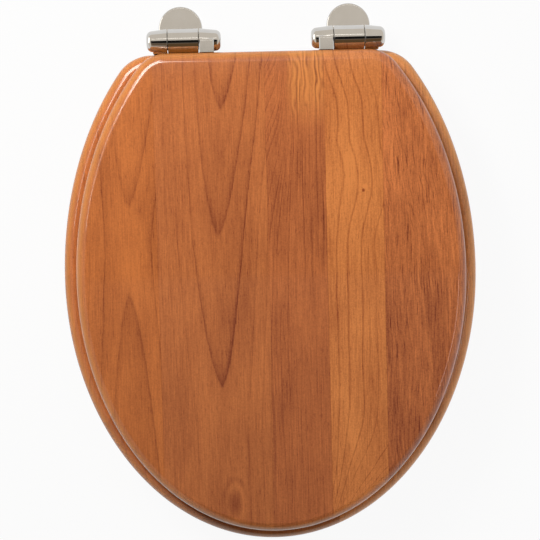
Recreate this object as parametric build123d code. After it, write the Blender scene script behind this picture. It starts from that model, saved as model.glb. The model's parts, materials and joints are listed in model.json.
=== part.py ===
"""A solid-wood toilet seat on two soft-close barrel hinges, fixed to the pan by two studs.

Millimetres. +X is to the right, +Y to the back and +Z up, for someone facing the pan.
The origin lies midway between the two studs, on the pan's top face.
"""
from build123d import *
from math import asin, cos, degrees, radians, sin
import os

# Fixing to the pan
stud_spacing = 155.0
pan_thickness = 18.0
stud_r = 4.0
thread_r = 3.7
stud_length = 60.0
stud_grip = 4.5
stud_point = 1.0

# Foot of each hinge
foot_r = 20.0
foot_thickness = 6.0
foot_edge = 1.6
gasket_thickness = 1.0
gasket_inset = 1.0

# Fastening under the pan
cone_height = 10.0
cone_top_r = 7.0
washer_r = 11.0
washer_thickness = 1.6
nut_hub_r = 8.0
nut_hub_height = 13.0
wing_span = 44.0
wing_thickness = 4.0
wing_height = 15.0
wing_corner = 5.0
wing_edge = 1.2
nut_edge = 0.8

# Hinge axis and barrel
hinge_spacing = 149.5
axis_ahead = 13.5
barrel_r = 11.0
barrel_length = 27.4
section_gap = 0.6
outer_end_length = 18.6
inner_end_length = 19.7
end_tip_r = 8.8
end_round = 5.0
barrel_edge = 0.35

# Pillar of each hinge
neck_top_width = 24.0
neck_foot_width = 13.0
neck_depth = 12.0
neck_edge = 2.0

# Pin and damper in each barrel
damper_r = 7.0
damper_length = 22.0
damper_flat = 5.6
damper_edge = 0.6
shaft_r = 3.5
shaft_flat = 2.6
shaft_in_damper = 8.0
shaft_in_arm = 12.0
pin_r = 3.0
pin_in_arm = 12.0
pin_edge = 0.5
bush_wall = 1.8
bush_flange_r = 8.0
flange_thickness = 0.5

# Wooden seat ring
ring_clear_of_pan = 10.0
ring_thickness = 20.0
ring_half_width = 190.5
ring_front_reach = 247.5
ring_back_reach = 266.5
widest_from_studs = 229.0
ring_back_from_axis = 11.2
ring_hole_half_width = 109.0
ring_hole_half_length = 140.0
ring_front_rim = 81.5
ring_outer_round = 9.0
ring_inner_round = 9.0
ring_under_round = 3.0
ring_corner_r = 37.0

# Wooden lid
lid_above_ring = 6.0
lid_thickness = 18.0
lid_margin = 13.0
lid_back_from_axis = 11.4
lid_round = 9.0
lid_under_round = 2.5
lid_corner_r = 32.0

# Arms that carry the lid and the ring
lid_arm_width = 13.2
arm_step = 0.4
ring_arm_width = 13.2
ring_web = 6.0
arm_plate = 4.0
arm_reach = 62.0
arm_edge = 0.8
arm_heel = 2.0
arm_heel_round = 3.0
web_shoulder = 7.0
screw_first = 28.0
screw_pitch = 22.0

# Wood screws and the screw of each pillar
screw_r = 1.9
screw_head_r = 4.0
screw_depth = 13.0
screw_drive = 1.4
pillar_screw_r = 2.5
pillar_screw_head_r = 4.5
pillar_screw_depth = 9.0

# Rubber buffers
ring_buffer_r = 11.0
lid_buffer_r = 8.0
buffer_crown = 2.0
stem_r = 3.0
stem_depth = 8.0
front_buffer_angle = 50.0
rear_buffer_angle = -15.0
lid_buffer_angle = 20.0

# Clearances
running = 0.05
seat_play = 0.1
loose = 0.4
contact_gap = 0.3

# Heights and places that follow from the sizes above
axis_y = -axis_ahead
foot_top = gasket_thickness + foot_thickness
ring_top = ring_clear_of_pan + ring_thickness
lid_bottom = ring_top + lid_above_ring
axis_z = lid_bottom
widest_y = -widest_from_studs
ring_back_y = axis_y - ring_back_from_axis
lid_back_y = axis_y - lid_back_from_axis
hole_y = widest_y - ring_front_reach + ring_front_rim + ring_hole_half_length
lid_half_width = ring_half_width - lid_margin
lid_front_reach = ring_front_reach - lid_margin
lid_back_reach = ring_back_reach - lid_margin
sides = {"left": -1, "right": 1}


def x_cylinder(radius, start, end, x, y=axis_y, z=axis_z):
    """A cylinder along X from start to end, measured from x."""
    place = Pos(x + start, y, z) * Rot(0, 90, 0)
    return place * Cylinder(radius, end - start, align=(Align.CENTER, Align.CENTER, Align.MIN))


def upright(radius, bottom, top, x, y):
    """A cylinder along Z from bottom to top."""
    return Pos(x, y, bottom) * Cylinder(radius, top - bottom, align=(Align.CENTER, Align.CENTER, Align.MIN))


def box_between(x0, x1, y0, y1, z0, z1):
    """A box given by its limits."""
    return Pos((x0 + x1) / 2, (y0 + y1) / 2, (z0 + z1) / 2) * Box(x1 - x0, y1 - y0, z1 - z0)


def turned(profile, x, y, z=0.0):
    """A solid of revolution about a vertical line, from (radius, height) corners."""
    face = make_face(Polyline(*profile, close=True))
    return Pos(x, y, z) * revolve(Plane.XZ * face, Axis.Z)


def countersink(shank_r, head_r, depth, x, y, z, up, play=0.0):
    """A countersunk screw or its hole: head flush with z, pointing up or down."""
    head = head_r - shank_r
    profile = [
        (0.0, 0.0),
        (head_r + play, 0.0),
        (shank_r + play, head),
        (shank_r + play, depth),
        (0.0, depth + play),
    ]
    screw = turned(profile, 0.0, 0.0)
    turn = Rot(0, 0, 0) if up else Rot(180, 0, 0)
    return Pos(x, y, z) * turn * screw


def screw_places(x):
    """The two screw places along an arm's plate."""
    return [(x, axis_y - screw_first - i * screw_pitch) for i in range(2)]


def panel(half_width, front_reach, back_reach, back_y, bottom, thickness, corner_r):
    """A wooden panel: two half ellipses that meet on the seat's widest line, cut straight across at the back."""
    cut = degrees(asin((back_y - widest_y) / back_reach))
    right = EllipticalCenterArc((0, 0), half_width, back_reach, 0, arc_size=cut)
    left = EllipticalCenterArc((0, 0), half_width, back_reach, 180 - cut, arc_size=cut)
    front = EllipticalCenterArc((0, 0), half_width, front_reach, 180, arc_size=180)
    outline = make_face([right, Line(right @ 1, left @ 0), left, front])
    board = Pos(0, widest_y, bottom) * extrude(outline, thickness)
    corners = board.edges().filter_by(Axis.Z).sort_by(Axis.Y)[-2:]
    return fillet(corners, corner_r)


def edges_at(solid, z, inner=None):
    """The solid's edges in the plane at height z, within or outside the seat's opening."""
    flat = solid.faces().filter_by(Axis.Z).filter_by(lambda f: abs(f.center().Z - z) < 1e-3)[0]
    if inner is None:
        return flat.outer_wire().edges()
    return flat.inner_wires()[0].edges()


def seat_ring():
    """The wooden ring, rounded over all round, with blind holes for its buffers and screws."""
    bottom = ring_clear_of_pan
    reach = (ring_front_reach, ring_back_reach)
    ring = panel(ring_half_width, *reach, ring_back_y, bottom, ring_thickness, ring_corner_r)
    hole = extrude(Ellipse(ring_hole_half_width, ring_hole_half_length), ring_thickness)
    ring = ring - Pos(0, hole_y, bottom) * hole
    ring = fillet(edges_at(ring, ring_top), ring_outer_round)
    ring = fillet(edges_at(ring, ring_top, inner=True), ring_inner_round)
    ring = fillet(edges_at(ring, bottom), ring_under_round)
    ring = fillet(edges_at(ring, bottom, inner=True), ring_under_round)
    for x, y in ring_buffer_places().values():
        ring = ring - upright(stem_r + running, bottom, bottom + stem_depth + contact_gap, x, y)
    for side in sides.values():
        for x, y in screw_places(ring_arm_x(side)):
            ring = ring - screw_hole(x, y, bottom)
    return ring


def lid():
    """The wooden lid, rounded over on top, with blind holes underneath."""
    top = lid_bottom + lid_thickness
    reach = (lid_front_reach, lid_back_reach)
    board = panel(lid_half_width, *reach, lid_back_y, lid_bottom, lid_thickness, lid_corner_r)
    board = fillet(edges_at(board, top), lid_round)
    board = fillet(edges_at(board, lid_bottom), lid_under_round)
    for x, y in lid_buffer_places().values():
        board = board - upright(stem_r + running, lid_bottom, lid_bottom + stem_depth + contact_gap, x, y)
    for side in sides.values():
        for x, y in screw_places(lid_arm_x(side)):
            board = board - screw_hole(x, y, lid_bottom)
    return board


def screw_hole(x, y, face):
    """The pilot hole of a wood screw in the panel above an arm's plate."""
    return upright(screw_r + running, face, face + screw_depth - arm_plate + contact_gap, x, y)


def wood_screws(arm_x, face):
    """The four screws that hold a pair of arms under a panel."""
    screws = []
    for side in sides.values():
        for x, y in screw_places(arm_x(side)):
            screw = countersink(screw_r, screw_head_r, screw_depth, x, y, face - arm_plate, up=True)
            drive = upright(screw_drive, face - arm_plate, face - arm_plate + screw_drive, x, y)
            screws.append(screw - drive)
    return screws


def rim_middle(side, angle):
    """A place midway across the ring's rim, at an angle ahead of its widest line."""
    out = (ring_half_width + ring_hole_half_width) / 2 * cos(radians(angle))
    reach = ring_front_reach if angle > 0 else ring_back_reach
    ahead = (reach + ring_hole_half_length) / 2 * sin(radians(angle))
    return side * out, (widest_y + hole_y) / 2 - ahead


def ring_buffer_places():
    """Where the four buffers sit under the ring."""
    places = {}
    for name, side in sides.items():
        places["front_" + name] = rim_middle(side, front_buffer_angle)
        places["rear_" + name] = rim_middle(side, rear_buffer_angle)
    return places


def lid_buffer_places():
    """Where the two buffers sit under the lid, over the ring's rim."""
    return {name: rim_middle(side, lid_buffer_angle) for name, side in sides.items()}


def buffer(radius, foot, face, x, y):
    """A rubber buffer with a rounded foot and a push-in stem."""
    pad = upright(radius, foot, face, x, y)
    pad = fillet(pad.edges().group_by(Axis.Z)[0], buffer_crown)
    return pad + upright(stem_r, face, face + stem_depth, x, y)


def hinge_x(side):
    """The middle of a hinge's barrel."""
    return side * hinge_spacing / 2


def lid_arm_x(side):
    """The middle of a lid arm, against the barrel's inner joint."""
    return side * (hinge_spacing / 2 - barrel_length / 2 - section_gap - lid_arm_width / 2)


def ring_arm_x(side):
    """The middle of a ring arm, near the barrel's outer end."""
    return side * (hinge_spacing / 2 + barrel_length / 2 + section_gap + ring_arm_width / 2)


def barrel_end(length, x_joint, direction):
    """A blunt tapered end of the barrel, turned about the hinge axis, from its joint outwards."""
    corners = [(0, 0), (0, barrel_r - barrel_edge), (barrel_edge, barrel_r), (length, end_tip_r), (length, 0)]
    profile = make_face(Polyline(*corners, close=True))
    end = revolve(profile, Axis.X)
    rim = end.edges().filter_by(GeomType.CIRCLE).sort_by(Axis.X)[-1]
    end = fillet(rim, end_round)
    if direction < 0:
        end = mirror(end, Plane.YZ)
    return Pos(x_joint, axis_y, axis_z) * end


def side_profile(corners, x, width):
    """A plate across X, from corners given as (ahead of, above) the hinge axis."""
    points = [(axis_y - ahead, axis_z + above) for ahead, above in corners]
    face = Plane.YZ * make_face(Polyline(*points, close=True))
    return Pos(x - width / 2, 0, 0) * extrude(face, width, dir=(1, 0, 0))


def arm_bore(arm, x_joint, direction):
    """Cuts the seat of the damper's shaft (towards +X) or of the pin's bush (towards -X)."""
    if direction > 0:
        depth = section_gap + shaft_in_arm + contact_gap
        socket = x_cylinder(shaft_r + running, -section_gap, depth, x_joint)
        across = shaft_flat + running
        slab = box_between(
            x_joint - section_gap, x_joint + depth,
            axis_y - barrel_r, axis_y + barrel_r, axis_z - across, axis_z + across,
        )
        return arm - (socket & slab)
    depth = pin_in_arm + contact_gap
    return arm - x_cylinder(pin_r + running + bush_wall + running, -depth, 0, x_joint)


def end_joint(side, inner):
    """The joint plane of a barrel end and the way it points along X."""
    direction = -side if inner else side
    return hinge_x(side) + direction * (barrel_length / 2 + section_gap), direction


def lid_arm(side):
    """A lid arm: barrel end, flat-topped block to the lid's back edge and a plate under the lid."""
    x_joint, direction = end_joint(side, inner=True)
    x = lid_arm_x(side)
    step = lid_back_from_axis - arm_step
    block = side_profile(
        [(-arm_heel, barrel_r), (step, barrel_r), (step, -arm_plate), (-arm_heel, -arm_plate)], x, lid_arm_width
    )
    heel = block.edges().filter_by(Axis.X).group_by(Axis.Z)[-1].sort_by(Axis.Y)[-1]
    block = fillet(heel, arm_heel_round)
    block = chamfer(block.edges().filter_by(Axis.Y).group_by(Axis.Z)[-1], arm_edge)
    plate = arm_strip(x, lid_arm_width, step - arm_step, lid_bottom)
    arm = barrel_end(inner_end_length, x_joint, direction) + block + plate
    for sx, sy in screw_places(x):
        arm = arm - arm_screw_hole(sx, sy, lid_bottom)
    return arm_bore(arm, x_joint, direction)


def ring_arm(side):
    """A ring arm: barrel end, web behind the ring's back edge and a plate under the ring."""
    x_joint, direction = end_joint(side, inner=False)
    x = ring_arm_x(side)
    front = ring_back_from_axis - arm_step
    drop = axis_z - ring_clear_of_pan
    web = side_profile(
        [(0, 0), (front, 0), (front, -drop - arm_plate), (front - ring_web, -drop - arm_plate),
         (front - ring_web, -barrel_r)],
        x, ring_arm_width,
    )
    web = fillet(web.edges().filter_by(Axis.X).group_by(Axis.Z)[-1].sort_by(Axis.Y)[0], web_shoulder)
    plate = arm_strip(x, ring_arm_width, front - arm_step, ring_clear_of_pan)
    arm = barrel_end(outer_end_length, x_joint, direction) + web + plate
    for sx, sy in screw_places(x):
        arm = arm - arm_screw_hole(sx, sy, ring_clear_of_pan)
    return arm_bore(arm, x_joint, direction)


def arm_strip(x, width, start, face):
    """The plate of an arm, flat against a panel's underside, with a round front end."""
    half = width / 2
    flat = box_between(x - half, x + half, axis_y - arm_reach + half, axis_y - start, face - arm_plate, face)
    return flat + upright(half, face - arm_plate, face, x, axis_y - arm_reach + half)


def arm_screw_hole(x, y, face):
    """The countersunk hole of a wood screw through an arm's plate."""
    return countersink(screw_r, screw_head_r, 2 * arm_plate, x, y, face - arm_plate, up=True, play=seat_play)


def foot_place(side):
    """The middle of a foot, which is where its stud stands."""
    return side * stud_spacing / 2, 0.0


def foot(side):
    """The round foot: tapped for its stud in the middle, with the pillar's screw off-centre."""
    x, y = foot_place(side)
    disc = upright(foot_r, gasket_thickness, foot_top, x, y)
    disc = fillet(disc.edges().group_by(Axis.Z)[-1], foot_edge)
    disc = disc - upright(thread_r + running, gasket_thickness, gasket_thickness + stud_grip + contact_gap, x, y)
    return disc - countersink(
        pillar_screw_r, pillar_screw_head_r, foot_thickness + pillar_screw_depth,
        hinge_x(side), axis_y, gasket_thickness, up=True, play=seat_play,
    )


def foot_gasket(side):
    """The soft ring between a foot and the pan."""
    x, y = foot_place(side)
    ring = upright(foot_r - gasket_inset, 0, gasket_thickness, x, y)
    return ring - upright(stud_r + loose, 0, gasket_thickness, x, y)


def pillar(side):
    """The casting that carries the hinge: a barrel bored for the damper, on a tapered neck."""
    x = hinge_x(side)
    half = barrel_length / 2
    barrel = x_cylinder(barrel_r, -half, half, x)
    barrel = chamfer(barrel.edges().filter_by(GeomType.CIRCLE), barrel_edge)
    top = Pos(x, axis_y, axis_z) * RectangleRounded(neck_top_width, neck_depth, neck_edge)
    bottom = Pos(x, axis_y, foot_top) * RectangleRounded(neck_foot_width, neck_depth, neck_edge)
    body = barrel + loft([bottom, top])
    bore = x_cylinder(damper_r + running, half - damper_length - seat_play, half, x)
    flat = axis_z - damper_flat - running
    floor = box_between(x - half, x + half, axis_y - barrel_r, axis_y + barrel_r, flat - barrel_r, flat)
    body = body - (bore - floor)
    body = body - x_cylinder(pin_r + running, -half, half, x)
    return body - upright(pillar_screw_r + running, foot_top, foot_top + pillar_screw_depth + contact_gap, x, axis_y)


def pillar_screw(side):
    """The screw that ties a pillar to its foot, from below."""
    length = foot_thickness + pillar_screw_depth
    x = hinge_x(side)
    screw = countersink(pillar_screw_r, pillar_screw_head_r, length, x, axis_y, gasket_thickness, up=True)
    drive = upright(pillar_screw_r / 2, gasket_thickness, gasket_thickness + pillar_screw_r, x, axis_y)
    return screw - drive


def fixing_stud(side):
    """The stud: tapped into the foot, plain through the pan, threaded below it."""
    x, y = foot_place(side)
    profile = [
        (0, gasket_thickness + stud_grip),
        (thread_r, gasket_thickness + stud_grip),
        (thread_r, 0),
        (stud_r, 0),
        (stud_r, -pan_thickness),
        (thread_r, -pan_thickness),
        (thread_r, stud_point - stud_length),
        (thread_r - stud_point, -stud_length),
        (0, -stud_length),
    ]
    return turned(profile, x, y)


def cone_washer(side):
    """The rubber cone that centres a stud in the pan's hole."""
    x, y = foot_place(side)
    bottom = -pan_thickness - cone_height
    hole = thread_r + loose
    profile = [(hole, -pan_thickness), (cone_top_r, -pan_thickness), (washer_r, bottom), (hole, bottom)]
    return turned(profile, x, y)


def flat_washer(side):
    """The steel washer under a rubber cone."""
    x, y = foot_place(side)
    top = -pan_thickness - cone_height
    ring = upright(washer_r, top - washer_thickness, top, x, y)
    return ring - upright(thread_r + loose, top - washer_thickness, top, x, y)


def wing_nut(side):
    """The wing nut that draws a foot down on the pan."""
    x, y = foot_place(side)
    top = -pan_thickness - cone_height - washer_thickness
    hub = upright(nut_hub_r, top - nut_hub_height, top, x, y)
    hub = chamfer(hub.edges().filter_by(GeomType.CIRCLE), nut_edge)
    half = wing_span / 2
    wings = box_between(x - half, x + half, y - wing_thickness / 2, y + wing_thickness / 2,
                        top - nut_hub_height / 2 - wing_height, top - nut_hub_height / 2)
    wings = fillet(wings.edges().filter_by(Axis.Y), wing_corner)
    wings = fillet(wings.faces().filter_by(Axis.Y).edges(), wing_edge)
    nut = hub + wings
    return nut - upright(thread_r + running, top - nut_hub_height / 2 - wing_height, top, x, y)


def pivot_pin(side):
    """The steel pin pressed into the barrel's closed end."""
    x = hinge_x(side)
    half = barrel_length / 2
    inside = half - damper_length - seat_play
    pin = x_cylinder(pin_r, -half - section_gap - pin_in_arm, inside - contact_gap, x)
    return chamfer(pin.edges(), pin_edge)


def pin_bush(side):
    """The nylon bush in the arm that turns on the pin, with a flange against the barrel."""
    x = hinge_x(side) - barrel_length / 2 - section_gap
    outer = pin_r + running + bush_wall
    bush = x_cylinder(outer, -pin_in_arm, 0, x) + x_cylinder(bush_flange_r, 0, flange_thickness, x)
    return bush - x_cylinder(pin_r + running, -pin_in_arm, flange_thickness, x)


def damper_washer(side):
    """The nylon washer between the barrel and the arm that the damper slows."""
    x = hinge_x(side) + barrel_length / 2 + section_gap
    ring = x_cylinder(bush_flange_r, -flange_thickness, 0, x)
    return ring - x_cylinder(shaft_r + running, -flange_thickness, 0, x)


def damper_body(side):
    """The sealed rotary damper, kept from turning by a flat in the barrel."""
    x = hinge_x(side)
    half = barrel_length / 2
    body = x_cylinder(damper_r, half - damper_length, half, x)
    body = chamfer(body.edges().filter_by(GeomType.CIRCLE), damper_edge)
    flat = axis_z - damper_flat
    body = body - box_between(x - half, x + half, axis_y - damper_r, axis_y + damper_r, flat - damper_r, flat)
    return body - x_cylinder(shaft_r + running, half - shaft_in_damper - contact_gap, half, x)


def damper_shaft(side):
    """The damper's shaft, with two flats where it drives the arm."""
    x = hinge_x(side) + barrel_length / 2
    tip = section_gap + shaft_in_arm
    shaft = x_cylinder(shaft_r, -shaft_in_damper, tip, x)
    for up in (-1, 1):
        edge = axis_z + up * (shaft_flat + shaft_r / 2)
        shaft = shaft - Pos(x + (section_gap + tip) / 2, axis_y, edge) * Box(shaft_in_arm, 2 * shaft_r, shaft_r)
    return shaft


def model():
    """Every piece by name."""
    pieces = {
        "lid": lid(),
        "seat_ring": seat_ring(),
        "lid_screws": Compound(children=wood_screws(lid_arm_x, lid_bottom)),
        "ring_screws": Compound(children=wood_screws(ring_arm_x, ring_clear_of_pan)),
    }
    for name, (x, y) in ring_buffer_places().items():
        pieces["ring_buffer_" + name] = buffer(ring_buffer_r, 0, ring_clear_of_pan, x, y)
    for name, (x, y) in lid_buffer_places().items():
        pieces["lid_buffer_" + name] = buffer(lid_buffer_r, ring_top + contact_gap, lid_bottom, x, y)
    makers = (
        foot, foot_gasket, fixing_stud, cone_washer, flat_washer, wing_nut, pillar, pillar_screw,
        pivot_pin, pin_bush, damper_washer, damper_body, damper_shaft, lid_arm, ring_arm,
    )
    for name, side in sides.items():
        for maker in makers:
            pieces[maker.__name__ + "_" + name] = maker(side)
    return pieces


os.makedirs("parts", exist_ok=True)
for name, piece in model().items():
    export_step(piece, f"parts/{name}.step")
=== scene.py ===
"""Looks of a solid-wood toilet seat on chrome barrel hinges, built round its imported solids. Metres."""
import json
from collections import namedtuple
from math import atan2, cos, floor, pi, radians, sin, tan

import bmesh
import bpy
from mathutils import Matrix, Vector


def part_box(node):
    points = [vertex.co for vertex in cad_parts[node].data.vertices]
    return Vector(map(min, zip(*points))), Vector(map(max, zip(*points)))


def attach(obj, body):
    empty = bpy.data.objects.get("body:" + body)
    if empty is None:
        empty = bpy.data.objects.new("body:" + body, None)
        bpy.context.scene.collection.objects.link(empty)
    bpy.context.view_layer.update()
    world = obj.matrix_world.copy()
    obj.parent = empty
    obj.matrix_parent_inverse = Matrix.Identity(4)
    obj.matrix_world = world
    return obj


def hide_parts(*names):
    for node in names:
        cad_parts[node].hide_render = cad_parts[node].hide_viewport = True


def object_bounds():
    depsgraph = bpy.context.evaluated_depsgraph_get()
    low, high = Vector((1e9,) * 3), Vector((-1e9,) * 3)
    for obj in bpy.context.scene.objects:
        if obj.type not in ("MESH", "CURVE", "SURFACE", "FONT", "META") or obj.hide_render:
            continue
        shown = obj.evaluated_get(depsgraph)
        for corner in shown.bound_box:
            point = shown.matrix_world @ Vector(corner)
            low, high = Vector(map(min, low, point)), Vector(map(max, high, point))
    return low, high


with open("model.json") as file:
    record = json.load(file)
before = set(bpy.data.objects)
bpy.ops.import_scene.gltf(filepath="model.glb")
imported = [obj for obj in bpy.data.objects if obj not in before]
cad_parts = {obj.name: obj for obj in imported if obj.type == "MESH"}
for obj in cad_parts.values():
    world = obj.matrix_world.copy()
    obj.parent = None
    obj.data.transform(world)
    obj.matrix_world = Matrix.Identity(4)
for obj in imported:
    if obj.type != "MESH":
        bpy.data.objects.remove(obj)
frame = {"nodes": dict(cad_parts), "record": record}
cad_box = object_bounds()
MM = 0.001

# Camera, which looks almost straight down on the lid
view_target = Vector((-1.8, -222.5, 40.0)) * MM
view_distance = 1300 * MM
view_lean_back = radians(4.9)
view_lean_right = radians(-2.0)
view_roll = radians(1.45)
picture_width_px = 540
focal_length_px = 1423.8
sensor_width_mm = 36.0

# Outlines and rounds of the two wooden panels
lid_corner = 32 * MM
lid_back_reach = 253.5 * MM
lid_round = 9 * MM
lid_under_round = 2.5 * MM
ring_corner = 37 * MM
ring_back_reach = 266.5 * MM
ring_round = 9 * MM
ring_under_round = 3 * MM
ring_front_rim = 81.5 * MM
opening_half_width = 109 * MM
opening_half_length = 140 * MM
flat_margin = 0.5 * MM
round_start = radians(10)
halvings = 50
outline_steps = 420
corner_steps = 24
back_steps = 60
round_steps = 14
under_steps = 6

# Threads of the fixing studs
stud_radius = 4.0 * MM
thread_crest = 3.9 * MM
thread_root = 3.3 * MM
thread_pitch = 1.25 * MM
pan_thickness = 18 * MM
stud_point = 1.0 * MM
thread_segments = 32
rows_per_turn = 8

# Cross-head wood screws
screw_head = 4.0 * MM
screw_shank = 1.9 * MM
screw_root = 1.4 * MM
screw_pitch = 1.8 * MM
screw_tip = 0.3 * MM
screw_point = 2.5 * MM
cross_reach = 2.5 * MM
cross_half_width = 0.6 * MM
cross_depth = 1.6 * MM
cross_taper = 0.5
smallest_sine = 1e-6
sharp_edge = radians(35)


def paint(red, green, blue):
    """A display colour, 0 to 255, as the linear colour that a shader takes."""
    linear = []
    for level in (red, green, blue):
        share = level / 255
        linear.append(share / 12.92 if share <= 0.04045 else ((share + 0.055) / 1.055) ** 2.4)
    return (*linear, 1.0)


class Level:
    """A number that varies over a surface. Arithmetic on it adds Math nodes."""

    def __init__(self, finish, socket):
        self.finish = finish
        self.socket = socket

    def math(self, operation, *values):
        node = self.finish.add("ShaderNodeMath", {"operation": operation}, dict(enumerate(values)))
        return Level(self.finish, node.outputs[0])

    def __add__(self, other):
        return self.math("ADD", self, other)

    def __radd__(self, other):
        return self.math("ADD", other, self)

    def __sub__(self, other):
        return self.math("SUBTRACT", self, other)

    def __rsub__(self, other):
        return self.math("SUBTRACT", other, self)

    def __mul__(self, other):
        return self.math("MULTIPLY", self, other)

    def __rmul__(self, other):
        return self.math("MULTIPLY", other, self)

    def __truediv__(self, other):
        return self.math("DIVIDE", self, other)

    def __rtruediv__(self, other):
        return self.math("DIVIDE", other, self)

    def __pow__(self, power):
        return self.math("POWER", self, power)

    def __gt__(self, other):
        return self.math("GREATER_THAN", self, other)

    def root(self):
        return self.math("SQRT", self)

    def size(self):
        return self.math("ABSOLUTE", self)

    def fraction(self):
        return self.math("FRACT", self)

    def at_least(self, other):
        return self.math("MAXIMUM", self, other)

    def bearing(self, other):
        """The angle, in degrees, by which a direction leans from its other part towards this one."""
        return self.math("ARCTAN2", self, other) * (180 / pi)

    def ramp(self, low, high):
        """0 below low, 1 above high and a smooth rise between them."""
        settings = {"interpolation_type": "SMOOTHSTEP"}
        sockets = {"Value": self, "From Min": low, "From Max": high}
        return Level(self.finish, self.finish.add("ShaderNodeMapRange", settings, sockets).outputs[0])

    def stops(self, low, high, stops):
        """A value read between stops, of which the first lies at low and the last at high."""
        share = (self - low) / (high - low)
        ramp = self.finish.add("ShaderNodeValToRGB", {"stops": stops}, {0: share})
        return Level(self.finish, ramp.outputs[0])

    def hump(self, middle, spread):
        """1 at middle, falling smoothly to 0 at one spread either side."""
        off = (self - middle) / spread
        return (1 - off * off).at_least(0.0) ** 2


class Finish:
    """One material or world in the making."""

    def __init__(self, tree):
        self.tree = tree
        tree.nodes.clear()

    def add(self, kind, settings=None, sockets=None):
        """Adds a node: its settings first, then the values or links of its sockets."""
        node = self.tree.nodes.new(kind)
        for name, value in (settings or {}).items():
            if name == "stops":
                self.set_stops(node.color_ramp.elements, value)
            else:
                setattr(node, name, value)
        for name, value in (sockets or {}).items():
            self.feed(node.inputs[name], value)
        return node

    def set_stops(self, elements, stops):
        """Grey levels along a ramp."""
        while len(elements) < len(stops):
            elements.new(1.0)
        for element, (place, level) in zip(elements, stops):
            element.position = place
            element.color = (level, level, level, 1)

    def feed(self, socket, value):
        if isinstance(value, Level):
            self.tree.links.new(value.socket, socket)
        elif isinstance(value, bpy.types.NodeSocket):
            self.tree.links.new(value, socket)
        else:
            socket.default_value = value

    def level(self, socket):
        return Level(self, socket)

    def axes(self, vector):
        """The three parts of a vector."""
        parts = self.add("ShaderNodeSeparateXYZ", sockets={0: vector})
        return [Level(self, out) for out in parts.outputs]

    def vector(self, x, y, z):
        return self.add("ShaderNodeCombineXYZ", sockets={0: x, 1: y, 2: z}).outputs[0]

    def place_mm(self):
        """Where a point of the piece lies, in millimetres."""
        place = self.add("ShaderNodeTexCoord").outputs["Object"]
        scaled = self.add("ShaderNodeVectorMath", {"operation": "SCALE"}, {0: place, "Scale": 1 / MM})
        return scaled.outputs[0]

    def noise(self, vector, detail=2.0, roughness=0.5, scale=1.0):
        sockets = {"Vector": vector, "Scale": scale, "Detail": detail, "Roughness": roughness}
        return Level(self, self.add("ShaderNodeTexNoise", {"noise_dimensions": "3D"}, sockets).outputs[0])

    def grain(self, x, y, across, along, layer, detail=1.0, roughness=0.5):
        """Noise that changes at one rate for each millimetre across the grain and at another along it."""
        return self.noise(self.vector(x * across, y * along, layer), detail, roughness)

    def mixed(self, share, first, second):
        """A colour between two."""
        node = self.add("ShaderNodeMix", {"data_type": "RGBA"}, {0: share, 6: first, 7: second})
        return node.outputs[2]

    def bump(self, height, distance):
        return self.add("ShaderNodeBump", sockets={"Height": height, "Distance": distance}).outputs[0]

    def surface(self, sockets):
        """Ends the material in one Principled shader."""
        shader = self.add("ShaderNodeBsdfPrincipled", sockets=sockets)
        self.add("ShaderNodeOutputMaterial", sockets={"Surface": shader.outputs[0]})


def new_finish(name):
    """A new material and what its nodes are added with."""
    material = bpy.data.materials.new(name)
    material.use_nodes = True
    return material, Finish(material.node_tree)


# Wood: the boards that each panel is glued up from, left to right, in millimetres
# left: the joint at the board's left side
# figure: how its growth rings show
# heart: where across the board they are cut nearest to the middle of the tree
# turn: where along the board their arches turn over
# shift: how far ahead the rings are moved
# front: how fast the arches close in front of the turn
# strength: how strongly the figure shows
# tone: how dark the board is between its lines
# pale and dark: the colours that its tones run between
Board = namedtuple("Board", "left figure heart turn shift front strength tone pale dark")

lid_boards = (
    Board(None, "flame", -129.5, -196, 30, 0.8, 0.56, 0.24, paint(213, 124, 64), paint(131, 61, 32)),
    Board(-103, "flame", -49, -378, 0, 0.3, 0.70, 0.27, paint(212, 126, 70), paint(130, 60, 35)),
    Board(-3, "straight", 20, 0, 0, 1, 0.44, 0.35, paint(215, 126, 71), paint(128, 59, 35)),
    Board(50, "wavy", 75, 0, 0, 1, 0.50, 0.26, paint(235, 146, 79), paint(148, 66, 34)),
    Board(102, "flecked", 130, 0, 0, 1, 0.46, 0.29, paint(232, 138, 78), paint(125, 56, 34)),
)
ring_boards = (
    Board(None, "flame", -150, -240, 60, 1, 0.50, 0.24, paint(213, 124, 64), paint(131, 61, 32)),
    Board(-62, "flame", -12, -420, 20, 1, 0.60, 0.26, paint(212, 126, 68), paint(130, 61, 34)),
    # This board is paler: partly its own tone, partly painted light that lifts the margin lying in the
    # lid's shadow
    Board(58, "flecked", 110, 0, 40, 1, 0.40, 0.14, paint(246, 160, 92), paint(148, 74, 40)),
)

# Growth rings: where each lies and how dark it is, the span of them all, and how far each rises and falls
flame_lines = (
    (76, 1.00), (121, 0.50), (189, 0.95), (250, 0.40), (325, 1.00),
    (420, 0.45), (500, 0.80), (590, 0.50), (670, 0.75), (820, 0.70),
)
flame_span = (0.0, 1000.0)
flame_rise = 46.0
flame_fall = 5.0
wavy_lines = (
    (52.5, 0.30), (58.5, 0.85), (68.0, 1.00), (75.0, 0.25), (81.0, 1.00),
    (87.5, 0.25), (94.0, 0.60), (117.0, 0.95), (128.0, 0.40), (139.0, 0.95),
)
wavy_span = (40.0, 160.0)
wavy_rise = 1.5
wavy_fall = 0.8
stops_apart = 0.0004

# Arches of the flat-cut boards
arch_lean_start = -190.0
arch_lean = 0.055
arch_tip = 150.0
arch_flare = 0.2
arch_slope = 1.2

# Lines of the quarter-cut board
quarter_lean_start = -235.0
quarter_lean = 0.0013
quarter_spacing = 4.4
quarter_calm = (-270.0, -150.0)

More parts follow.
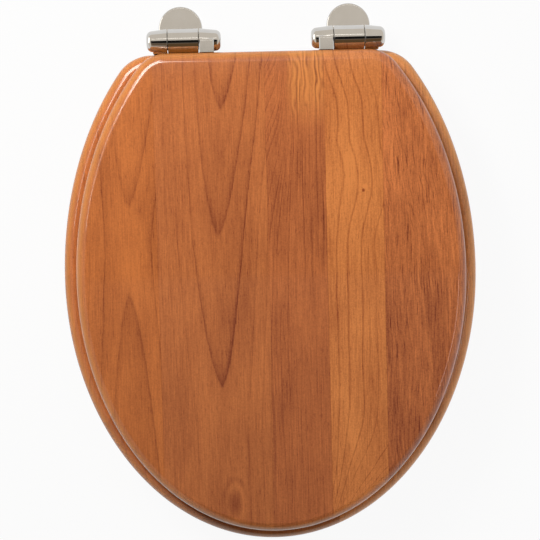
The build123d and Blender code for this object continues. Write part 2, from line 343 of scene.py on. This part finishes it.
# Sweep of the wavy board's rings
bulge_middle = -141.0
bulge_spread = 58.0
bulge_grows = (58.0, 78.0)
sweep_middle = (-112.0, -88.0)
sweep_back = (-80.0, -26.0)
squeeze_front = (-470.0, -345.0)
wavy_edge = 45.0

# Where the flecks of the darker boards begin to lie aslant
aslant_back = (-260.0, -120.0)

# Marks of the lid alone
low_knot = Vector((-39.2, -434.0))
low_knot_half = Vector((5.0, 10.5))
pin_knot = Vector((83.7, -151.5))
pin_knot_half = Vector((1.6, 2.0))
limb = Vector((-28.0, -185.0))
limb_half = Vector((18.0, 115.0))
# Painted shade: the lid grows darker towards the front between these places, most on the right-hand board
painted_front_shade_span = (-400.0, -90.0)
right_joint = 102.0
streak_left = (15.0, 24.0)
streak_right = (48.0, 51.0)
streak_front = (-100.0, -56.0)
ripple_spacing = 4.4

# How much each kind of grain darkens the wood, the tint of the rounds, which is partly painted warm light,
# and the tint of the streak
pore_weight = 0.30
fibre_weight = 1.0
drift_weight = 0.85
speck_weight = 0.70
joint_weight = 0.15
joint_reach = 0.9
layers_apart = 61.0
edge_slant = 0.6
round_depth = (-2.5, -0.1)
# Amber on the rounds: partly the deeper tone of end grain, partly painted warm light that ends towards the
# lid's right, the side away from the light
round_amber_and_painted_light = paint(238, 156, 52)
round_amber_and_painted_light_share = 0.35
round_amber_and_painted_light_end = (35.0, 80.0)
streak_colour = paint(250, 172, 88)
streak_share = 0.5


def line_stops(lines, span, rise, fall):
    """Ramp stops that rise to each line and fall quickly behind it."""
    low, high = span
    stops = [(0.0, 0.0)]
    for place, strength in lines:
        for off, level in ((-rise, 0.0), (0.0, strength), (fall, 0.0)):
            share = (place + off - low) / (high - low)
            stops.append((max(share, stops[-1][0] + stops_apart), level))
    return stops


def flame(finish, x, y, board):
    """Rings of a board cut flat: long narrow arches, one inside the other, which turn over at one place."""
    wander = finish.grain(x, y, across=0.016, along=0.007, layer=board.shift + 3.0)
    fuzz = finish.grain(x, y, across=0.8, along=0.035, layer=board.shift + 7.0, detail=2.0)
    patch = finish.grain(x, y, across=0.06, along=0.014, layer=board.shift + 11.0)
    lean = (y - arch_lean_start).at_least(0.0) * arch_lean
    off = x - board.heart - lean + (wander - 0.5) * 4.0 + (fuzz - 0.5) * 2.0
    along = (y - board.turn).at_least(0.0) + (board.turn - y).at_least(0.0) * board.front
    reach = board.shift - board.turn - (along * along + arch_tip).root()
    reach = reach + off * off * arch_flare + off.size() * arch_slope
    ring = reach.stops(*flame_span, line_stops(flame_lines, flame_span, flame_rise, flame_fall))
    line = ring ** 2 * 0.52 + ring ** 7 * 0.34
    return line * (0.45 + patch * 0.8 + off.ramp(-8.0, 8.0) * 0.25)


def straight(finish, x, y, board):
    """Rings of a board cut on the quarter: fine lines, leaning at the back left and upright elsewhere."""
    left = 1 - x.ramp(board.heart - 14.0, board.heart + 12.0)
    lean = (y - quarter_lean_start).at_least(0.0) ** 2 * quarter_lean * left
    wander = finish.grain(x, y, across=0.02, along=0.008, layer=31.0)
    label = x - lean + (wander - 0.5) * 7.0
    uneven = finish.grain(label, y, across=0.16, along=0.003, layer=33.0)
    rise = (label / quarter_spacing + uneven * 2.4).fraction()
    weight = finish.grain(label, y, across=0.22, along=0.006, layer=35.0)
    fine = finish.grain(label, y, across=0.7, along=0.012, layer=37.0, detail=2.0, roughness=0.6)
    calm = 0.55 + y.ramp(*quarter_calm) * 0.45
    return (rise ** 3 * weight.ramp(0.30, 0.70) * 1.3 + fine.ramp(0.50, 0.78) * 0.35 - 0.08) * calm


def wavy(finish, x, y, board):
    """A pale board with a few thin rings that bulge together, and sweep aside at the back and in front."""
    bulge = y.hump(bulge_middle, bulge_spread) * (5.0 + x.ramp(*bulge_grows) * 6.0)
    bulge = bulge + y.ramp(*sweep_middle) * 4.0 - y.ramp(*sweep_back) * 13.0
    squeeze = 1 - (1 - y.ramp(*squeeze_front)) * 0.85
    wander = finish.grain(x, y, across=0.05, along=0.018, layer=41.0)
    label = wavy_edge + (x - wavy_edge - bulge + (wander - 0.5) * 4.5) / squeeze
    lines = label.stops(*wavy_span, line_stops(wavy_lines, wavy_span, wavy_rise, wavy_fall))
    broken = finish.grain(x, y, across=0.3, along=0.05, layer=43.0)
    return lines * (0.35 + broken)


def flecked(finish, x, y, board):
    """A darker board whose grain crosses: short dark and pale flecks, aslant at the back."""
    bend = finish.grain(x, y, across=0.03, along=0.016, layer=board.shift + 51.0)
    aslant = finish.vector(x * 0.80 + y * 0.16 + bend * 7.0, y * 0.045, board.shift + 53.0)
    upright = finish.vector(x * 0.80 + bend * 7.0, y * 0.028, board.shift + 57.0)
    streaks = finish.vector(x * 0.32 + y * 0.02 + bend * 4.0, y * 0.018, board.shift + 59.0)
    first = finish.noise(aslant, detail=2.0, roughness=0.6).ramp(0.56, 0.68)
    second = finish.noise(upright, detail=3.0, roughness=0.65).ramp(0.55, 0.68)
    pale = finish.noise(streaks, detail=2.0, roughness=0.6).ramp(0.46, 0.68)
    return first * y.ramp(*aslant_back) * 0.8 + second - pale * 0.42 + 0.08


figures = {"flame": flame, "straight": straight, "wavy": wavy, "flecked": flecked}


def by_board(x, boards, values):
    """The value of the board that x falls on."""
    value = values[0]
    for board, other in zip(boards[1:], values[1:]):
        on = x > board.left
        value = other * on + value * (1 - on)
    return value


def board_colour(finish, x, boards, read):
    """The colour that a board gives, chosen by where x falls."""
    colour = read(boards[0])
    for board in boards[1:]:
        colour = finish.mixed(x > board.left, colour, read(board))
    return colour


def lid_marks(finish, x, y):
    """Marks of the lid alone: two knots, a dark limb, a painted shade that darkens the front and a bright
    streak at the back.

    Gives the shade that they add, and the share of the streak's colour."""
    aside = (x - low_knot.x) / low_knot_half.x
    along = (y - low_knot.y) / low_knot_half.y
    away = (aside * aside + along * along).root()
    arch = away.hump(2.1, 0.5) * y.ramp(low_knot.y - 4.0, low_knot.y + 10.0)
    low = away.hump(0.0, 1.6) * 0.42 - away.hump(1.5, 0.5) * 0.10 + arch * 0.18
    aside = (x - pin_knot.x) / pin_knot_half.x
    along = (y - pin_knot.y) / pin_knot_half.y
    pin = (1 - (aside * aside + along * along)).at_least(0.0) * 0.9
    pin = pin - x.hump(pin_knot.x + 1.6, 3.2) * y.hump(pin_knot.y + 3.8, 3.6) * 0.45
    streak = x.ramp(*streak_left) * (1 - x.ramp(*streak_right)) * y.ramp(*streak_front)
    wander = finish.grain(x, y, across=0.11, along=0.032, layer=71.0)
    uneven = finish.grain(x, y, across=0.17, along=0.020, layer=73.0)
    label = x + (wander - 0.5) * 15.0 + y * 0.04
    ripple = ((label / ripple_spacing).fraction() - 0.5).size() * 2.0
    ripple = 0.5 + (ripple - 0.5) * uneven.ramp(0.25, 0.70)
    dim = x.hump(limb.x, limb_half.x) * y.hump(limb.y, limb_half.y)
    # Painted shade: darker towards the front, most on the right-hand board
    front = (1 - y.ramp(*painted_front_shade_span)) * (0.05 + (x > right_joint) * 0.27)
    marks = low + pin + front + dim * 0.14 + streak * (ripple * 0.95 - 0.62)
    return marks, streak * (1 - ripple)


def lacquered_wood(name, boards, top, extra=None):
    """Warm brown boards under a clear gloss lacquer, in a panel whose face lies at the height top.

    A panel with marks of its own has a function for them, extra, and none of the rounds' amber, which is
    partly painted warm light, on its right-hand rounds."""
    material, finish = new_finish(name)
    place = finish.place_mm()
    x, y, z = finish.axes(place)
    number = by_board(x, boards, [float(i) for i in range(len(boards))])
    apart = number * layers_apart
    depth = y + (z - top) * edge_slant
    drawn = [figures[board.figure](finish, x, depth, board) * board.strength for board in boards]
    figure = by_board(x, boards, drawn)

    # Fibres, pores and slow drifts of tone along the grain
    fibre = finish.grain(x, y, across=1.1, along=0.035, layer=apart + z * 0.3, detail=3.0, roughness=0.7)
    pores = finish.grain(x, y, across=0.9, along=0.10, layer=apart + 20.0, detail=2.0)
    drift = finish.grain(x, y, across=0.035, along=0.010, layer=apart + 40.0, detail=2.0)
    speck = finish.noise(place, scale=0.75, detail=3.0, roughness=0.6)
    pit = pores.ramp(0.60, 0.72)
    joint = 0.0
    for board in boards[1:]:
        joint = x.hump(board.left, joint_reach) + joint

    tone = by_board(x, boards, [board.tone for board in boards])
    shade = tone + figure + pit * pore_weight + (fibre - 0.5) * fibre_weight
    shade = shade + (drift - 0.5) * drift_weight + (speck - 0.5) * speck_weight + joint * joint_weight
    # Painted light on the rounds: an amber tint, partly end-grain tone and partly painted warm light,
    # fading out on the lid's right-hand rounds
    rounded = 1 - (z - top).ramp(*round_depth)
    amber = rounded * round_amber_and_painted_light_share
    if extra:
        marks, streak = extra(finish, x, y)
        shade = shade + marks
        amber = amber * (1 - x.ramp(*round_amber_and_painted_light_end))
    pale = board_colour(finish, x, boards, lambda board: board.pale)
    dark = board_colour(finish, x, boards, lambda board: board.dark)
    colour = finish.mixed(shade, pale, dark)
    if extra:
        colour = finish.mixed(streak * streak_share, colour, streak_colour)
    colour = finish.mixed(amber, colour, round_amber_and_painted_light)

    relief = finish.bump(fibre * 0.4 - pit * 0.6, 0.02 * MM)
    finish.surface({
        "Base Color": colour,
        "Roughness": 0.50 + (fibre - 0.5) * 0.12,
        "Normal": relief,
        "Specular IOR Level": 0.12,
        "Coat Weight": 1.0,
        "Coat Roughness": 0.04,
        "Coat IOR": 1.5,
    })
    return material


def chrome_plate():
    """Polished chrome with a trace of haze."""
    material, finish = new_finish("chrome_plate")
    place = finish.place_mm()
    haze = finish.noise(place, scale=0.12, detail=3.0)
    grain = finish.noise(place, scale=2.5, detail=2.0)
    finish.surface({
        "Base Color": finish.mixed(haze, paint(210, 208, 205), paint(203, 200, 195)),
        "Metallic": 1.0,
        "Roughness": 0.045 + haze * 0.03,
        "Normal": finish.bump(grain, 0.0008 * MM),
    })
    return material


def zinc_steel():
    """Zinc-plated steel, dull and faintly mottled."""
    material, finish = new_finish("zinc_steel")
    place = finish.place_mm()
    bloom = finish.noise(place, scale=0.35, detail=4.0, roughness=0.6)
    scratch = finish.noise(place, scale=3.0, detail=2.0)
    finish.surface({
        "Base Color": finish.mixed(bloom, paint(196, 197, 198), paint(160, 158, 150)),
        "Metallic": 1.0,
        "Roughness": 0.26 + bloom * 0.2,
        "Normal": finish.bump(scratch, 0.012 * MM),
    })
    return material


def soft_rubber():
    """Pale grey moulded rubber."""
    material, finish = new_finish("soft_rubber")
    place = finish.place_mm()
    cloud = finish.noise(place, scale=0.2, detail=3.0)
    pebble = finish.noise(place, scale=4.0, detail=2.0)
    finish.surface({
        "Base Color": finish.mixed(cloud, paint(226, 224, 218), paint(204, 201, 193)),
        "Roughness": 0.55 + pebble * 0.2,
        "Normal": finish.bump(pebble, 0.03 * MM),
    })
    return material


def natural_nylon():
    """Milky nylon as it leaves the mould."""
    material, finish = new_finish("natural_nylon")
    place = finish.place_mm()
    cloud = finish.noise(place, scale=0.15, detail=2.0)
    mould = finish.noise(place, scale=6.0, detail=2.0)
    finish.surface({
        "Base Color": finish.mixed(cloud, paint(240, 239, 232), paint(226, 223, 212)),
        "Roughness": 0.36 + mould * 0.14,
        "Normal": finish.bump(mould, 0.012 * MM),
        "Subsurface Weight": 0.12,
        "Subsurface Radius": (2.0 * MM, 2.0 * MM, 1.6 * MM),
    })
    return material


def damper_shell():
    """Black moulded plastic of the damper's housing."""
    material, finish = new_finish("damper_shell")
    place = finish.place_mm()
    mould = finish.noise(place, scale=5.0, detail=2.0)
    cloud = finish.noise(place, scale=0.3, detail=2.0)
    finish.surface({
        "Base Color": finish.mixed(cloud, paint(34, 34, 36), paint(46, 46, 48)),
        "Roughness": 0.42 + mould * 0.15,
        "Normal": finish.bump(mould, 0.02 * MM),
    })
    return material


def piece_from(name, points, faces, material):
    """A new piece with outward faces and smooth shading."""
    mesh = bpy.data.meshes.new(name)
    mesh.from_pydata(points, [], faces)
    shape = bmesh.new()
    shape.from_mesh(mesh)
    bmesh.ops.recalc_face_normals(shape, faces=shape.faces)
    shape.to_mesh(mesh)
    shape.free()
    mesh.polygons.foreach_set("use_smooth", [True] * len(mesh.polygons))
    mesh.materials.append(material)
    piece = bpy.data.objects.new(name, mesh)
    bpy.context.scene.collection.objects.link(piece)
    return piece


def stand_for(piece, body, slot, *nodes):
    """The piece rides on a body and takes the place of solids there. Its slot is not used."""
    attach(piece, body)
    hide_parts(*nodes)


def panel_outline(node, back_reach, corner):
    """Places and outward directions round a panel: two half ellipses, cut off behind with round corners."""
    low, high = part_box(node)
    half_width = high.x
    widest_y = max(frame["nodes"][node].data.vertices, key=lambda vertex: vertex.co.x).co.y

    def on_ellipse(angle):
        reach = back_reach if angle > 0 or angle < -pi else widest_y - low.y
        place = Vector((half_width * cos(angle), widest_y + reach * sin(angle)))
        return place, Vector((cos(angle) / half_width, sin(angle) / reach)).normalized()

    near, far = 0.0, pi / 2
    for _ in range(halvings):
        start = (near + far) / 2
        place, out = on_ellipse(start)
        if place.y - corner * out.y < high.y - corner:
            near = start
        else:
            far = start
    place, out = on_ellipse(start)
    centre = place - out * corner
    lean = atan2(out.y, out.x)
    outline = []
    for i in range(outline_steps):
        outline.append(on_ellipse(start - (pi + 2 * start) * i / outline_steps))
    for i in range(corner_steps):
        angle = pi - lean - (pi / 2 - lean) * i / corner_steps
        out = Vector((cos(angle), sin(angle)))
        outline.append((Vector((-centre.x, centre.y)) + out * corner, out))
    for i in range(back_steps):
        outline.append((Vector((centre.x * (2 * i / back_steps - 1), high.y)), Vector((0, 1))))
    for i in range(corner_steps):
        angle = pi / 2 - (pi / 2 - lean) * i / corner_steps
        out = Vector((cos(angle), sin(angle)))
        outline.append((centre + out * corner, out))
    return outline


def edge_profile(bottom, top, over, under):
    """Insets and heights down a panel's edge, with a large round above and a small one below.

    The large round leaves the flat face at a slight angle, which shows as a fine line."""
    profile = [(over + flat_margin, top)]
    for i in range(round_steps + 1):
        angle = round_start + (pi / 2 - round_start) * i / round_steps
        inset = over * (1 - sin(angle)) / (1 - sin(round_start))
        profile.append((inset, top - over * (1 - cos(angle) / cos(round_start))))
    for i in range(under_steps + 1):
        angle = pi / 2 * i / under_steps
        profile.append((under * (1 - cos(angle)), bottom + under * (1 - sin(angle))))
    profile.append((under + flat_margin, bottom))
    return profile


def edge_rows(outline, profile):
    """A row of points round the outline for each step of the profile."""
    return [[(*(place - out * inset), height) for place, out in outline] for inset, height in profile]


def run(rows):
    """All the points of some rows, one row after the other."""
    return [point for row in rows for point in row]


def bands(rows, count, first=0):
    """Faces between rows of points, each row closed on itself."""
    faces = []
    for row in range(len(rows) - 1):
        here = first + row * count
        there = here + count
        for i in range(count):
            j = (i + 1) % count
            faces.append((here + i, here + j, there + j, there + i))
    return faces


def wooden_lid(material):
    """The lid as one smooth panel."""
    low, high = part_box("lid")
    outline = panel_outline("lid", lid_back_reach, lid_corner)
    rows = edge_rows(outline, edge_profile(low.z, high.z, lid_round, lid_under_round))
    count = len(outline)
    points = run(rows)
    faces = bands(rows, count)
    faces.append(tuple(range(count)))
    faces.append(tuple(range(len(points) - count, len(points))))
    piece = piece_from("wooden_lid", points, faces, material)
    stand_for(piece, "lid", "wood", "lid")
    return piece


def wooden_ring(material):
    """The seat ring as one smooth panel with an oval opening."""
    low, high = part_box("seat_ring")
    outline = panel_outline("seat_ring", ring_back_reach, ring_corner)
    opening_y = low.y + ring_front_rim + opening_half_length
    rim = []
    for place, _ in outline:
        angle = atan2((place.y - opening_y) / opening_half_length, place.x / opening_half_width)
        edge = Vector((opening_half_width * cos(angle), opening_y + opening_half_length * sin(angle)))
        inward = -Vector((cos(angle) / opening_half_width, sin(angle) / opening_half_length)).normalized()
        rim.append((edge, inward))
    profile = edge_profile(low.z, high.z, ring_round, ring_under_round)
    rows = edge_rows(outline, profile) + edge_rows(rim, profile)[::-1]
    count = len(outline)
    points = run(rows)
    faces = bands(rows + [rows[0]], count)
    faces = [tuple(i % len(points) for i in face) for face in faces]
    piece = piece_from("wooden_ring", points, faces, material)
    stand_for(piece, "ring", "wood", "seat_ring")
    return piece


def turned(x, y, share, radius, height):
    """A point about an upright axis at x and y, in a direction given as a share of a turn."""
    return (x + radius * cos(2 * pi * share), y + radius * sin(2 * pi * share), height)


def thread_radius(height, share, pitch, root, crest):
    """How far a thread reaches at a height, in a direction given as a share of a turn."""
    along = (height / pitch - share) % 1.0
    return root + (crest - root) * abs(2 * along - 1)


def cross_directions():
    """Shares of a turn round a screw's head, with one at each corner of its cross."""
    corner = atan2(cross_half_width, cross_reach)
    spread = [-pi / 4, -pi / 6, -corner, -corner / 2, 0.0, corner / 2, corner, pi / 6]
    return [(quarter * pi / 2 + angle) / (2 * pi) for quarter in range(4) for angle in spread]


def cross_radius(share):
    """How far the cross reaches in a direction."""
    angle = (share * 2 * pi + pi / 4) % (pi / 2) - pi / 4
    return min(cross_reach / cos(angle), cross_half_width / max(abs(sin(angle)), smallest_sine))


def screw_rows(bottom, top):
    """Rows of radius and height round a screw, from the floor of its cross up to its point."""
    shares = cross_directions()
    neck = bottom + screw_head - screw_shank
    rows = [
        [(cross_radius(share) * cross_taper, bottom + cross_depth) for share in shares],
        [(cross_radius(share), bottom) for share in shares],
        [(screw_head, bottom) for _ in shares],
        [(screw_shank, neck) for _ in shares],
    ]
    count = floor((top - screw_point - neck) / screw_pitch * rows_per_turn)
    for i in range(1, count + 1):
        height = neck + i * screw_pitch / rows_per_turn
        rows.append([
            (thread_radius(height, share, screw_pitch, screw_root, screw_shank), height) for share in shares
        ])
    rows.append([(screw_tip, top) for _ in shares])
    return rows


def wood_screws(body, node, material):
    """The four screws under a panel, heads down."""
    low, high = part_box(node)
    shares = cross_directions()
    rows = screw_rows(low.z, high.z)
    points = []
    faces = []
    for x in (low.x + screw_head, high.x - screw_head):
        for y in (low.y + screw_head, high.y - screw_head):
            first = len(points)
            for row in rows:
                for share, (radius, height) in zip(shares, row):
                    points.append(turned(x, y, share, radius, height))
            faces += bands(rows, len(shares), first)
            faces.append(tuple(range(first, first + len(shares))))
            faces.append(tuple(range(len(points) - len(shares), len(points))))
    piece = piece_from("cross_head_" + node, points, faces, material)
    piece.data.set_sharp_from_angle(angle=sharp_edge)
    stand_for(piece, body, "steel", node)


def threaded_stud(side, material):
    """A fixing stud with its thread below the pan."""
    node = "fixing_stud_" + side
    low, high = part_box(node)
    middle = (low + high) / 2
    rows = []

    def add_row(height, radius_at):
        row = []
        for i in range(thread_segments):
            share = i / thread_segments
            row.append(turned(middle.x, middle.y, share, radius_at(share), height))
        rows.append(row)

    def thread(height):
        return lambda share: thread_radius(height, share, thread_pitch, thread_root, thread_crest)

    add_row(low.z, lambda share: thread_root - stud_point)
    turns = (-pan_thickness - low.z - stud_point) / thread_pitch
    count = floor(turns * rows_per_turn)
    for i in range(count + 1):
        height = low.z + stud_point + i * thread_pitch / rows_per_turn
        add_row(height, thread(height))
    add_row(-pan_thickness, lambda share: thread_root)
    add_row(-pan_thickness, lambda share: stud_radius)
    add_row(0.0, lambda share: stud_radius)
    add_row(0.0, lambda share: thread_root)
    add_row(high.z, lambda share: thread_root)
    points = run(rows)
    faces = bands(rows, thread_segments)
    faces.append(tuple(range(thread_segments)))
    faces.append(tuple(range(len(points) - thread_segments, len(points))))
    piece = piece_from("threaded_stud_" + side, points, faces, material)
    stand_for(piece, "base", "steel", node)


def dress_nodes(finishes):
    """Gives every solid the finish of its slot."""
    slots = {part["node"]: part["material_slot"] for part in frame["record"]["subparts"]}
    for name, node in frame["nodes"].items():
        node.data.materials.clear()
        node.data.materials.append(finishes[slots[name]])


# Floor and room. A pair is where a part of the room begins and ends to fade.
# The first four are angles from overhead in degrees, and the last is a height on a sphere of radius 1.
floor_half = 6.0
floor_matt = (0.8, 0.8, 0.8, 1)
floor_white = (1, 1, 1, 1)
floor_white_share = 0.93
gap_back = (2.8, 4.0)
gap_front = (-26.0, -20.0)
front_end = (-78.0, -66.0)
side_end = (16.0, 34.0)
low_end = (0.10, 0.22)
right_reach = 0.6
ceiling_colour = (0.80, 0.74, 0.66, 1)
gap_colour = (0.012, 0.011, 0.010, 1)
front_colour = (0.13, 0.075, 0.035, 1)
low_colour = (1, 1, 1, 1)
ambient_colour = (0.10, 0.10, 0.105, 1)
backdrop_colour = (0.955, 0.955, 0.955, 1)

# Lamps: what they face and their colours, and the nested veils over the front
seat_middle = (0.0, -0.22, 0.03)
back_corner = (-0.13, -0.06, 0.05)
left_side = (-0.165, -0.15, 0.05)
right_side = (0.165, -0.30, 0.05)
right_back = (0.1, -0.1, 0.05)
warm = (1.0, 0.98, 0.94)
cool = (0.95, 0.97, 1.0)
veil_depths = (0.62, 0.50, 0.38)
veil_front = -0.95
veil_height = 1.20


def white_floor():
    """A white floor that keeps a faint shadow."""
    low, _ = cad_box
    corners = [(x * floor_half, y * floor_half, low.z) for x, y in ((-1, -1), (1, -1), (1, 1), (-1, 1))]
    mesh = bpy.data.meshes.new("floor")
    mesh.from_pydata(corners, [], [(0, 1, 2, 3)])
    material, finish = new_finish("floor_white")
    ray = finish.add("ShaderNodeLightPath").outputs
    seen = finish.level(ray["Is Camera Ray"]) + finish.level(ray["Is Glossy Ray"])
    seen = seen + finish.level(ray["Is Transmission Ray"])
    matt = finish.add("ShaderNodeBsdfDiffuse", sockets={"Color": floor_matt}).outputs[0]
    plain = finish.add("ShaderNodeEmission", sockets={"Color": floor_white, "Strength": 1.0}).outputs[0]
    both = finish.add("ShaderNodeMixShader", sockets={0: seen * floor_white_share, 1: matt, 2: plain})
    finish.add("ShaderNodeOutputMaterial", sockets={"Surface": both.outputs[0]})
    mesh.materials.append(material)
    floor_piece = bpy.data.objects.new("floor", mesh)
    bpy.context.scene.collection.objects.link(floor_piece)


def soft_box(name, place, aim, width, height, radiance, colour):
    """A rectangular studio lamp."""
    lamp = bpy.data.lights.new(name, "AREA")
    lamp.shape = "RECTANGLE"
    lamp.size = width
    lamp.size_y = height
    lamp.energy = radiance * pi * width * height
    lamp.color = colour
    holder = bpy.data.objects.new(name, lamp)
    holder.location = place
    holder.rotation_mode = "QUATERNION"
    holder.rotation_quaternion = (Vector(aim) - Vector(place)).to_track_quat("-Z", "Y")
    holder.visible_camera = False
    bpy.context.scene.collection.objects.link(holder)
    return holder


def fill(*lamp):
    """A soft box that lights without showing in reflections."""
    soft_box(*lamp).visible_glossy = False


def glint(pieces, *lamp):
    """A soft box that shows only as a reflection in some pieces."""
    holder = soft_box(*lamp)
    holder.visible_diffuse = False
    group = bpy.data.collections.new(holder.name + "_pieces")
    for piece in pieces:
        group.objects.link(piece)
    holder.light_linking.receiver_collection = group


def studio(wooden, chromed):
    """Soft boxes, each with its place, aim, width, height, radiance and colour, and the room."""
    fill("upper_left_fill", (-0.50, 0.36, 0.96), seat_middle, 0.30, 0.36, 30.8, warm)
    fill("back_fill", (-0.05, 0.30, 0.90), right_back, 0.3, 0.3, 4.2, warm)
    glint(wooden, "corner_glint", (-0.50, 0.55, 1.03), back_corner, 0.75, 0.62, 7.0, warm)
    glint(wooden, "corner_glint_core", (-0.50, 0.55, 1.02), back_corner, 0.55, 0.42, 9.0, warm)
    glint(wooden, "left_glint", (-0.79, 0.05, 1.03), left_side, 0.45, 0.12, 4.0, warm)
    glint(wooden, "right_glint", (0.667, -0.50, 1.03), right_side, 0.35, 0.08, 6.5, cool)
    for number, depth in enumerate(veil_depths):
        y = veil_front + depth / 2
        glint(wooden, f"front_veil_{number}", (0.0, y, veil_height), (0.0, y, 0.0), 0.9, depth, 0.10, cool)
    glint(chromed, "barrel_glint", (-1.0, 0.15, 0.5), seat_middle, 0.9, 0.5, 2.2, warm)
    soft_box("back_strip", (0.0, 0.56, 1.45), seat_middle, 1.2, 0.04, 2.6, warm)
    fill("right_fill", (1.1, -0.45, 0.35), seat_middle, 0.8, 0.5, 2.8, cool)
    room()


def room():
    """A room that is white where it is seen, and in reflections warm grey with a dark gap overhead."""
    world = bpy.data.worlds.new("studio_room")
    world.use_nodes = True
    bpy.context.scene.world = world
    finish = Finish(world.node_tree)
    toward = finish.add("ShaderNodeTexCoord").outputs["Generated"]
    x, y, z = finish.axes(toward)
    back = y.bearing(z)
    right = x.bearing(z)
    narrow = 1 - (right * right_reach).at_least(0 - right).ramp(*side_end)
    gap = back.ramp(*gap_front) * (1 - back.ramp(*gap_back)) * narrow
    front = back.ramp(*front_end) * (1 - back.ramp(*gap_front)) * narrow
    low = 1 - z.ramp(*low_end)
    mirrored = finish.mixed(gap, ceiling_colour, gap_colour)
    mirrored = finish.mixed(front, mirrored, front_colour)
    mirrored = finish.mixed(low, mirrored, low_colour)
    ray = finish.add("ShaderNodeLightPath").outputs
    seen = finish.level(ray["Is Camera Ray"]) + finish.level(ray["Is Transmission Ray"])
    glossy = finish.level(ray["Is Glossy Ray"])
    lit = finish.mixed(glossy, ambient_colour, mirrored)
    shown = finish.mixed(seen, lit, backdrop_colour)
    light = finish.add("ShaderNodeBackground", sockets={"Color": shown, "Strength": 1.0})
    finish.add("ShaderNodeOutputWorld", sockets={"Surface": light.outputs[0]})


def camera():
    """The camera at the photograph's angle."""
    data = bpy.data.cameras.new("view")
    data.sensor_width = sensor_width_mm
    data.lens = focal_length_px / picture_width_px * sensor_width_mm
    holder = bpy.data.objects.new("view", data)
    toward = Vector((tan(view_lean_right), tan(view_lean_back), 1)).normalized()
    right = (-toward).cross(Vector((sin(view_roll), cos(view_roll), 0))).normalized()
    up = toward.cross(right)
    turn = Matrix((right, up, toward)).transposed().to_4x4()
    holder.matrix_world = Matrix.Translation(view_target + toward * view_distance) @ turn
    bpy.context.scene.collection.objects.link(holder)
    bpy.context.scene.camera = holder


def main():
    bpy.context.scene.view_settings.view_transform = "Standard"
    lid_wood = lacquered_wood("lid_wood", lid_boards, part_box("lid")[1].z / MM, lid_marks)
    ring_wood = lacquered_wood("ring_wood", ring_boards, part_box("seat_ring")[1].z / MM)
    finishes = {
        "wood": lid_wood,
        "chrome": chrome_plate(),
        "steel": zinc_steel(),
        "rubber": soft_rubber(),
        "nylon": natural_nylon(),
        "damper": damper_shell(),
    }
    dress_nodes(finishes)
    wooden = [wooden_lid(lid_wood), wooden_ring(ring_wood)]
    chromed = [node for node in frame["nodes"].values() if node.data.materials[0] == finishes["chrome"]]
    wood_screws("lid", "lid_screws", finishes["steel"])
    wood_screws("ring", "ring_screws", finishes["steel"])
    for side in ("left", "right"):
        threaded_stud(side, finishes["steel"])
    white_floor()
    studio(wooden, chromed)
    camera()


main()
